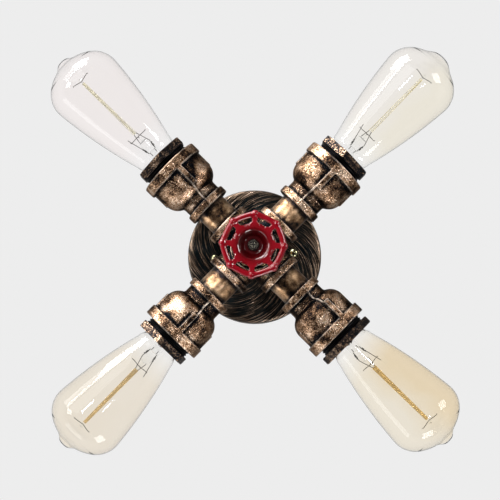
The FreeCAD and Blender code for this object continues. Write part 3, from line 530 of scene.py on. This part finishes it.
# Hexagonal collars, cast bushings with a black threaded boss. They clamp the
# lampholders in the mouths of the reducers.
collar_bronze, tree, shader = metal("blackened collar bronze", (0.05, 0.04, 0.035), 0.35)
spot = add(tree, "TexCoord").outputs["Object"]
sand = noise(tree, 1000.0, 3.0, 0.6, spot)
clouds = noise(tree, 120.0, 2.0, 0.6, spot)
mixed_noise = maths(tree, "MULTIPLY_ADD", clouds, 0.35, maths(tree, "MULTIPLY", sand, 0.65))
tree.links.new(ramp(tree, mixed_noise, [
    (0.49, (0.008, 0.009, 0.011)), (0.54, (0.07, 0.042, 0.028)), (0.59, (0.38, 0.25, 0.16)),
    (0.67, (0.74, 0.60, 0.48))]), shader.inputs["Base Color"])
tree.links.new(spread(tree, sand, 0.50, 0.26), shader.inputs["Roughness"])
bumped(tree, shader, sand, 0.3)

black_thread, tree, shader = metal("blackened thread", (0.012, 0.012, 0.013), 0.42)
tree.links.new(spread(tree, noise(tree, 800.0, 3.0), 0.36, 0.55), shader.inputs["Roughness"])

collar_turns = (0.0, 0.0, 30.0, 5.0)
head_start, head_end, head_bore, head_flats = 102.3, 108.8, 18.5, 43.2
boss_back, boss_start, boss_floor, boss_end = 77.5, 78.0, 79.1, 103.5
boss_hole, boss_bore, boss_radius, boss_pitch = 13.0, 18.6, 20.95, 2.309
for number in range(4):
    head = flank(head_start, head_end, head_bore, head_flats, 1.2)
    hexagon_head = turned("collar_head_" + str(number + 1), head, 192, hexed(head_flats))
    hexagon_head.data.transform(Matrix.Rotation(math.radians(collar_turns[number]), 4, "X"))
    finished(on_arm(hexagon_head, number), collar_bronze, "fixture", "cast_bronze")
    boss = turned("collar_boss_" + str(number + 1), [
        (boss_back, boss_hole), (boss_back, 20.0)]
        + drawn(boss_start, boss_end, boss_radius, 0.28)
        + [(boss_end, boss_bore), (boss_floor, boss_bore), (boss_floor, boss_hole)], 96,
        threaded(boss_start, boss_end, boss_radius, 1.0, boss_pitch))
    finished(on_arm(boss, number), black_thread, "fixture", "collar_black",
             "hex_collar_" + str(number + 1))


# Lampholders, cups of white glazed ceramic that sit in the collars. Inside each are a brass
# screw shell and a spring contact, both pressed from sheet.
ceramic, tree, shader = surface("glazed ceramic")
tree.links.new(ramp(tree, noise(tree, 180.0, 3.0), [
    (0.3, (0.66, 0.64, 0.58)), (0.7, (0.80, 0.78, 0.73))]), shader.inputs["Base Color"])
shader.inputs["Roughness"].default_value = 0.18
shader.inputs["Coat Weight"].default_value = 0.5
contact_brass, tree, shader = metal("dull brass", (0.66, 0.46, 0.20), 0.35)
tree.links.new(ramp(tree, noise(tree, 400.0, 3.0), [
    (0.3, (0.45, 0.29, 0.12)), (0.7, (0.74, 0.54, 0.26))]), shader.inputs["Base Color"])
cup_back, cup_floor, cup_step, cup_front = boss_floor, 81.6, 102.7, 107.9
cup_radius, mouth_radius, cavity_radius, lead_hole = 18.45, 17.45, 13.74, 2.5
for number in range(4):
    tail = "_" + str(number + 1)
    cup = turned("ceramic_cup" + tail, rounded([
        (cup_back, lead_hole), (cup_back, cup_radius, 0.5), (cup_front, cup_radius, 0.4),
        (cup_front, mouth_radius, 0.4), (cup_step, mouth_radius, 0.5),
        (cup_step, cavity_radius, 0.3), (cup_floor, cavity_radius, 0.5),
        (cup_floor, lead_hole)]))
    finished(on_arm(cup, number), ceramic, "fixture", "white_ceramic", "lampholder" + tail)
    dress(contact_brass, "socket_shell" + tail, "socket_contact" + tail)


# Bulb caps, rolled from thin nickel-plated brass. The thread is a round knuckle thread of
# 3.63 mm pitch, and a black glass cone carries the solder button of the centre contact.
cap_nickel, tree, shader = metal("nickel plate", (0.66, 0.62, 0.55), 0.24)
scuffs = noise(tree, 500.0, 4.0, 0.7)
tree.links.new(ramp(tree, scuffs, [
    (0.35, (0.42, 0.38, 0.32)), (0.65, (0.74, 0.70, 0.63))]), shader.inputs["Base Color"])
tree.links.new(spread(tree, scuffs, 0.18, 0.36), shader.inputs["Roughness"])
solder, tree, shader = metal("solder", (0.55, 0.55, 0.56), 0.4)
tree.links.new(spread(tree, noise(tree, 900.0, 3.0), 0.3, 0.5), shader.inputs["Roughness"])
black_glass, tree, shader = surface("black glass")
shader.inputs["Base Color"].default_value = (0.012, 0.012, 0.015, 1.0)
tree.links.new(spread(tree, noise(tree, 300.0, 2.0), 0.08, 0.2), shader.inputs["Roughness"])
cap_back, cap_start, cap_thread_end, cap_end = 88.6, 89.2, 104.6, 105.8
cap_radius, cap_bore, cap_lip, cap_pitch = 13.1, 12.7, 12.0, 3.629
for number in range(4):
    tail = "_" + str(number + 1)
    shell = turned("screw_cap" + tail, [(cap_back, cap_lip)]
                   + drawn(cap_start, cap_end, cap_radius, 0.3)
                   + [(cap_end, cap_bore), (cap_back + 1.0, cap_bore),
                      (cap_back + 1.0, cap_lip)], 96,
                   threaded(cap_start, cap_thread_end, cap_radius, 0.75, cap_pitch))
    finished(on_arm(shell, number), cap_nickel, "bulb" + tail, "cap_nickel", "bulb_cap" + tail)
    dress(solder, "bulb_tip" + tail)
    dress(black_glass, "bulb_insulator" + tail)


# Bulb glass: a blown pear-shaped envelope with the mark of its tip drawn off, and inside
# it the stem that carries the filament, with its flare, pinch and centre rod.
def through(start, via, end, steps):
    """Points of the arc from start to end through via, without its first point."""
    ax, ay = start
    bx, by = via
    cx, cy = end
    turn = 2 * (ax * (by - cy) + bx * (cy - ay) + cx * (ay - by))
    ux = ((ax ** 2 + ay ** 2) * (by - cy) + (bx ** 2 + by ** 2) * (cy - ay)
          + (cx ** 2 + cy ** 2) * (ay - by)) / turn
    uy = ((ax ** 2 + ay ** 2) * (cx - bx) + (bx ** 2 + by ** 2) * (ax - cx)
          + (cx ** 2 + cy ** 2) * (bx - ax)) / turn
    radius = math.hypot(ax - ux, ay - uy)
    first = math.atan2(ay - uy, ax - ux)
    middle = (math.atan2(by - uy, bx - ux) - first + math.pi) % (2 * math.pi) - math.pi
    last = (math.atan2(cy - uy, cx - ux) - first) % (2 * math.pi)
    if middle < 0:
        last -= 2 * math.pi
    return [(ux + radius * math.cos(first + last * k / steps),
             uy + radius * math.sin(first + last * k / steps)) for k in range(1, steps + 1)]


def blown(inset, pip_width, pip_height):
    """Outline of the envelope from neck to tip, moved inwards by inset."""
    points = [(10.0, 12.55 - inset), (22.55, 12.55 - inset)]
    points += through((22.55, 12.55 - inset), (25.4, 15.8 - inset), (32.2, 18.5 - inset), 10)
    points += through((32.2, 18.5 - inset), (69.5, 26.98 - inset), (107.4, 32.02 - inset), 24)
    crown_start = (126.47 - inset * 0.7, 23.99 - inset * 0.6)
    points += through((107.4, 32.02 - inset), (117.98 - inset * 0.4, 30.36 - inset * 0.9),
                      crown_start, 16)
    crown, crown_middle = 38.0 - inset, 97.0
    first = math.atan2(crown_start[1], crown_start[0] - crown_middle)
    for k in range(1, 41):
        swing = first * (1 - k / 40)
        across = crown * math.sin(swing)
        lift = pip_height * math.exp(-(across / pip_width) ** 4 * 0.7)
        points.append((crown_middle + crown * math.cos(swing) + lift, across))
    return points


def pinched(s, r, angle):
    """A shape for turned() that presses the stem flat round its wires."""
    if bulb_start + 34.6 < s < bulb_start + 44.5 and r > 2:
        return r * (0.75 + 0.75 * abs(math.cos(angle)))
    return r


def clear(name, pale, deep, side=(0.0, 0.0, 0.0)):
    """Clear glass whose colour deepens from pale to deep towards one side of the bulb: painted
    shade on that side.
    """
    material, tree, shader = surface(name)
    spot = add(tree, "TexCoord").outputs["Object"]
    flat = add(tree, "VectorMath", {"operation": "MULTIPLY"}, {0: spot, 1: (1.0, 1.0, 0.0)})
    reach = add(tree, "VectorMath", {"operation": "LENGTH"}, {0: flat.outputs[0]})
    seeds = noise(tree, 22.0, 2.0)
    # The tint deepens towards the side away from the main lamps: painted shade.
    toward_shaded_side = add(tree, "VectorMath", {"operation": "DOT_PRODUCT"}, {0: spot, 1: side})
    depth = maths(tree, "MULTIPLY_ADD", seeds, 0.06, toward_shaded_side.outputs["Value"])
    tinted = ramp(tree, spread(tree, depth, 0.0, 1.0, 0.018, 0.042), [(0.0, pale), (1.0, deep)])
    from_neck = layered(tree, spread(tree, reach.outputs["Value"], 0.0, 1.0, 0.106, 0.138),
                        (0.985, 0.985, 0.985, 1.0), tinted)
    tree.links.new(from_neck, shader.inputs["Base Color"])
    shader.inputs["Roughness"].default_value = 0.0
    shader.inputs["IOR"].default_value = 1.32
    shader.inputs["Transmission Weight"].default_value = 1.0
    bumped(tree, shader, seeds, 0.035)
    return material


glasses = [
    clear("clear bulb glass 1", (0.985, 0.962, 0.956), (0.983, 0.956, 0.948)),
    clear("clear bulb glass 2", (0.973, 0.955, 0.933), (0.966, 0.941, 0.880), (-0.7, -0.7, 0.0)),
    clear("amber bulb glass 3", (0.960, 0.925, 0.855), (0.938, 0.858, 0.720), (-0.7, 0.7, 0.0)),
    clear("amber bulb glass 4", (0.955, 0.918, 0.858), (0.942, 0.898, 0.825))]
stem_glass = clear("stem glass", (0.97, 0.975, 0.97), (0.96, 0.965, 0.96))
bulb_start, glass_wall = 83.4, 0.8
pips = ((7.0, 3.2), (10.5, 3.4), (6.5, 3.4), (6.5, 3.2))
for number in range(4):
    tail = "_" + str(number + 1)
    wide, tall = pips[number]
    outer = blown(0.0, wide, tall)
    inner = blown(glass_wall, wide, tall)
    envelope = turned("envelope" + tail, [
        (s + bulb_start, r) for s, r in outer + inner[::-1]], 128)
    glass_slot = "clear_glass" if number < 2 else "amber_glass"
    finished(on_arm(envelope, number), glasses[number], "bulb" + tail, glass_slot,
             "bulb_glass" + tail)
    flare = [(12.3, 11.6), (13.0, 11.6)] + through((13.0, 11.6), (18.2, 9.6), (20.2, 5.0), 10)
    flare += [(33.0, 5.0), (36.5, 3.2), (44.0, 2.6), (45.0, 0.9), (115.3, 0.9)]
    flare += through((115.3, 0.9), (116.8, 1.6), (118.1, 0.0), 6)
    flare += [(117.5, 0.0), (34.0, 0.0), (33.0, 3.9), (20.2, 4.0)]
    flare += through((20.2, 4.0), (17.4, 8.7), (12.3, 11.6), 10)[:-1]
    stem = turned("stem" + tail, [(s + bulb_start, r) for s, r in flare], 48, pinched)
    finished(on_arm(stem, number), stem_glass, "bulb" + tail, glass_slot)


# Filaments: a long cage of fine strands between two rings of anchor wires. Two lead wires
# from the pinch feed it, each with a blackened joint.
def wire(name, runs, thickness):
    """Fine wire through each run of points, in millimetres along an arm."""
    curve = bpy.data.curves.new(name, "CURVE")
    curve.dimensions = "3D"
    curve.bevel_depth = thickness / 2 * mm
    curve.bevel_resolution = 3
    for run in runs:
        spline = curve.splines.new("POLY")
        spline.points.add(len(run) - 1)
        for point, (x, y, z) in zip(spline.points, run):
            point.co = (x * mm, y * mm, z * mm, 1.0)
    loose = bpy.data.objects.new(name + "_line", curve)
    bpy.context.scene.collection.objects.link(loose)
    bpy.context.view_layer.update()
    drawn_wire = bpy.data.meshes.new_from_object(
        loose.evaluated_get(bpy.context.evaluated_depsgraph_get()))
    bpy.data.objects.remove(loose)
    piece = bpy.data.objects.new(name, drawn_wire)
    bpy.context.scene.collection.objects.link(piece)
    return piece


lead_wire, tree, shader = metal("lead wire", (0.13, 0.12, 0.11), 0.4)
shader.inputs["Metallic"].default_value = 0.6
tree.links.new(spread(tree, noise(tree, 900.0, 2.0), 0.3, 0.5), shader.inputs["Roughness"])
joint_black, tree, shader = metal("blackened joint", (0.03, 0.028, 0.026), 0.5)
shader.inputs["Metallic"].default_value = 0.3
tree.links.new(spread(tree, noise(tree, 900.0, 2.0), 0.4, 0.6), shader.inputs["Roughness"])
golds = ((0.96, 0.92, 0.70), (0.95, 0.87, 0.60), (0.79, 0.60, 0.285), (0.80, 0.62, 0.34))
for number in range(4):
    tail = "_" + str(number + 1)
    gold, tree, shader = metal("filament gold" + tail, golds[number], 0.5)
    shader.inputs["Metallic"].default_value = 0.1
    tree.links.new(ramp(tree, noise(tree, 300.0, 2.0), [
        (0.35, tuple(0.85 * value for value in golds[number])), (0.65, golds[number])]),
        shader.inputs["Base Color"])
    strands, thickness = ((4, 0.5), (5, 0.5), (10, 0.8), (10, 0.75))[number]
    runs = []
    for k in range(strands):
        around = 2 * math.pi * k / strands
        y, z = math.cos(around), math.sin(around)
        runs.append([(bulb_start + 53.0, 1.55 * y, 1.55 * z),
                     (bulb_start + 113.4, 1.05 * y, 1.05 * z)])
    cage = wire("filament" + tail, runs, thickness)
    finished(on_arm(cage, number), gold, "bulb" + tail, "filament_gold",
             "bulb_filament" + tail)
    runs = [
        [(30.0, 2.6, 0.0), (38.0, 3.4, 0.0), (41.0, 4.8, -0.4), (53.0, 1.2, -1.3)],
        [(30.0, -2.6, 0.0), (38.0, -3.4, 0.0), (40.0, -5.0, 0.4), (53.5, -8.2, 0.8)],
        [(45.0, -2.6, 0.6), (53.0, -1.2, 1.3)]]
    runs = [[(bulb_start + x, y, z) for x, y, z in run] for run in runs]
    knots = []
    for side in (1.0, -1.0):
        knots.append([(bulb_start + x, side * y, z) for x, y, z in (
            (35.6, 3.4, 0.5), (36.9, 4.5, -0.5), (37.8, 3.8, 0.6), (39.2, 4.8, -0.4))])
    for along, lean in ((bulb_start + 49.8, -1.0), (bulb_start + 115.2, 1.0)):
        for k in range(3):
            around = math.radians(-30 + 120 * k)
            runs.append([
                (along, 1.0 * math.cos(around), 1.0 * math.sin(around)),
                (along + lean * 0.6, 5.6 * math.cos(around), 5.6 * math.sin(around)),
                (along + lean * 0.9, 9.2 * math.cos(around), 9.2 * math.sin(around)),
                (along + lean * 0.3, 9.6 * math.cos(around), 9.6 * math.sin(around))])
    leads = wire("lead_wires" + tail, runs, 0.6)
    finished(on_arm(leads, number), lead_wire, "bulb" + tail, "filament_gold")
    joints = wire("lead_joints" + tail, knots, 1.5)
    finished(on_arm(joints, number), joint_black, "bulb" + tail, "filament_gold")


# Valve bonnet, gland nut and spindle, turned from brass bar. They carry the handwheel
# below the cross as on a real stop valve.
aged_brass, tree, shader = metal("aged brass", (0.45, 0.30, 0.13), 0.32)
age = noise(tree, 240.0, 4.0, 0.65)
tree.links.new(ramp(tree, age, [
    (0.36, (0.10, 0.06, 0.025)), (0.52, (0.42, 0.27, 0.11)), (0.66, (0.66, 0.47, 0.22))]),
    shader.inputs["Base Color"])
tree.links.new(spread(tree, age, 0.42, 0.22), shader.inputs["Roughness"])
bumped(tree, shader, noise(tree, 1100.0, 2.0), 0.03)
dress(aged_brass, "valve_bonnet", "gland_nut")
dress(plated_steel, "valve_stem")


# Handwheel, an iron casting with a lobed rim, eight spokes and a deep dished hub, dipped
# in glossy red enamel. A dark slotted screw at the bottom of the dish holds it on.
red_enamel, tree, shader = surface("red enamel")
place = add(tree, "SeparateXYZ", None, {"Vector": add(tree, "TexCoord").outputs["Object"]})
flat = add(tree, "CombineXYZ", None, {"X": place.outputs["X"], "Y": place.outputs["Y"]})
radius = add(tree, "VectorMath", {"operation": "LENGTH"}, {0: flat.outputs[0]}).outputs["Value"]
# Darker red deep in the dish and in the hollows between spokes, from ambient occlusion and
# nearness to the hub: painted shade.
occlusion_shade = add(tree, "AmbientOcclusion", {"samples": 6}, {"Distance": 0.020}).outputs["AO"]
depth = maths(tree, "MULTIPLY", occlusion_shade, spread(tree, radius, 0.45, 1.0, 0.011, 0.018))
tree.links.new(ramp(tree, depth, [
    (0.22, (0.045, 0.0, 0.001)), (0.45, (0.15, 0.001, 0.004)), (0.70, (0.31, 0.002, 0.009)),
    (0.92, (0.43, 0.003, 0.014))]), shader.inputs["Base Color"])
tree.links.new(spread(tree, noise(tree, 90.0, 3.0), 0.24, 0.34), shader.inputs["Roughness"])
shader.inputs["Specular IOR Level"].default_value = 0.06
shader.inputs["Coat Weight"].default_value = 1.0
shader.inputs["Coat Roughness"].default_value = 0.03
bumped(tree, shader, noise(tree, 130.0, 2.0), 0.3)
cast("handwheel", 0.35, 14, red_enamel)

dark_steel, tree, shader = metal("dark steel", (0.06, 0.055, 0.055), 0.3)
tree.links.new(spread(tree, noise(tree, 900.0, 3.0), 0.24, 0.42), shader.inputs["Roughness"])
# Lighter colour along the screw's edges: a painted highlight round its head.
edge = spread(tree, add(tree, "AmbientOcclusion", {
    "samples": 8, "inside": True, "only_local": True}, {"Distance": 0.0009}).outputs["AO"],
    1.0, 0.0, 0.60, 0.90)
tree.links.new(ramp(tree, edge, [
    (0.1, (0.035, 0.032, 0.032)), (0.9, (0.55, 0.49, 0.38))]), shader.inputs["Base Color"])
dress(dark_steel, "wheel_screw")


# Wiring inside: two moulded connector blocks that stand in the canopy, and one sheathed
# lead to each lampholder through the pipes.
block_plastic, tree, shader = surface("block plastic")
tree.links.new(ramp(tree, noise(tree, 200.0, 3.0), [
    (0.3, (0.70, 0.69, 0.65)), (0.7, (0.80, 0.79, 0.76))]), shader.inputs["Base Color"])
shader.inputs["Roughness"].default_value = 0.45
sheath, tree, shader = surface("cable sheath")
shader.inputs["Base Color"].default_value = (0.02, 0.02, 0.02, 1.0)
tree.links.new(spread(tree, noise(tree, 500.0, 3.0), 0.4, 0.6), shader.inputs["Roughness"])
dress(block_plastic, "terminal_blocks")
dress(sheath, "arm_cables")
